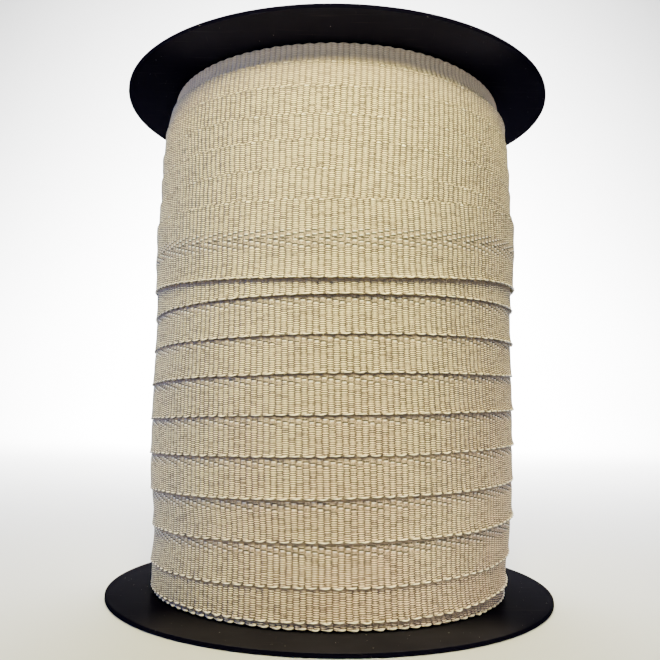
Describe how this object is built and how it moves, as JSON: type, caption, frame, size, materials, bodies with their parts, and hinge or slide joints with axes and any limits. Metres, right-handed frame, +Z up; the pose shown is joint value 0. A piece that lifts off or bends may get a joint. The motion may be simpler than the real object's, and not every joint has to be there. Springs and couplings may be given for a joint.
{
  "type": "roll of binding tape on a flanged reel",
  "caption": "Cream ribbed cotton binding tape wound in an overlapping spiral on a black plastic reel with thin round flanges.",
  "frame": {"origin": "middle of the lower flange's underside, where the reel stands", "axes": "+Z up along the reel's axis; +X to the right and +Y away from the camera as the roll is pictured"},
  "size_m": [0.125, 0.125, 0.1428],
  "materials": {
    "black_plastic": "moulded, soft gloss with fine scratches",
    "cream_tape": "matt ribbed weave with a herringbone line along the middle"
  },
  "bodies": {
    "root": {"flange_bottom": "black_plastic", "flange_top": "black_plastic", "barrel": "black_plastic", "tape_roll": "cream_tape"}
  },
  "joints": []
}
